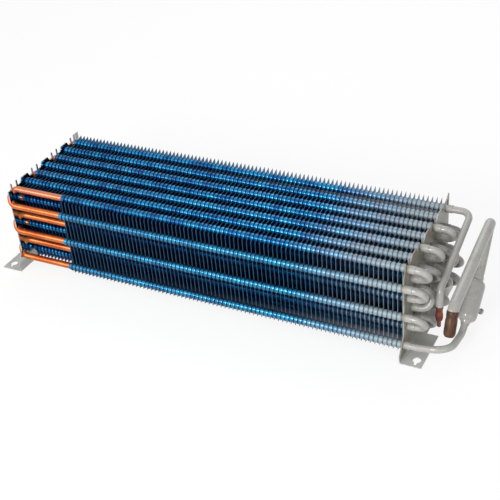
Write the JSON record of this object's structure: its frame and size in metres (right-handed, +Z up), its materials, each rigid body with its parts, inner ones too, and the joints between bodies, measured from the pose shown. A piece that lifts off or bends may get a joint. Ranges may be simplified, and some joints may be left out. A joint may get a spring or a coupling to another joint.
{
  "type": "evaporator coil",
  "caption": "Finned refrigeration evaporator coil: copper tubes through blue coated fins between two footed end plates, with return bends, accumulator and pipe stubs.",
  "frame": {"origin": "midway between the two foot holes, on the underside of the feet", "axes": "+X along the tubes towards the connection end, +Y from the front face to the back, +Z up"},
  "size_m": [0.7183, 0.2031, 0.147],
  "materials": {
    "galvanised_sheet": "satin",
    "blue_fin_coating": "gloss",
    "copper_tube": "satin",
    "grey_paint": "satin",
    "dark_copper": "matt"
  },
  "bodies": {
    "root": {"left_end_plate": "galvanised_sheet", "right_end_plate": "galvanised_sheet", "fins_full": "blue_fin_coating", "fins_short": "blue_fin_coating", "hairpin_01": "copper_tube", "hairpin_02": "copper_tube", "hairpin_03": "copper_tube", "hairpin_04": "copper_tube", "hairpin_05": "copper_tube", "hairpin_06": "copper_tube", "hairpin_07": "copper_tube", "hairpin_08": "copper_tube", "hairpin_09": "copper_tube", "hairpin_10": "copper_tube", "hairpin_11": "copper_tube", "hairpin_12": "copper_tube", "hairpin_13": "copper_tube", "hairpin_14": "copper_tube", "hairpin_15": "copper_tube", "hairpin_16": "copper_tube", "hairpin_17": "copper_tube", "hairpin_18": "copper_tube", "return_bend_01": "grey_paint", "return_bend_02": "grey_paint", "return_bend_03": "grey_paint", "return_bend_04": "grey_paint", "return_bend_05": "grey_paint", "return_bend_06": "grey_paint", "return_bend_07": "grey_paint", "return_bend_08": "grey_paint", "return_bend_09": "grey_paint", "return_bend_10": "grey_paint", "return_bend_11": "grey_paint", "return_bend_12": "grey_paint", "return_bend_13": "grey_paint", "return_bend_14": "grey_paint", "return_bend_15": "grey_paint", "return_bend_16": "grey_paint", "return_bend_17": "grey_paint", "inlet_pipe": "grey_paint", "outlet_pipe": "grey_paint", "suction_pipe": "grey_paint", "accumulator": "grey_paint", "accumulator_screw": "grey_paint", "inlet_stub": "dark_copper", "suction_stub": "dark_copper"}
  },
  "joints": []
}
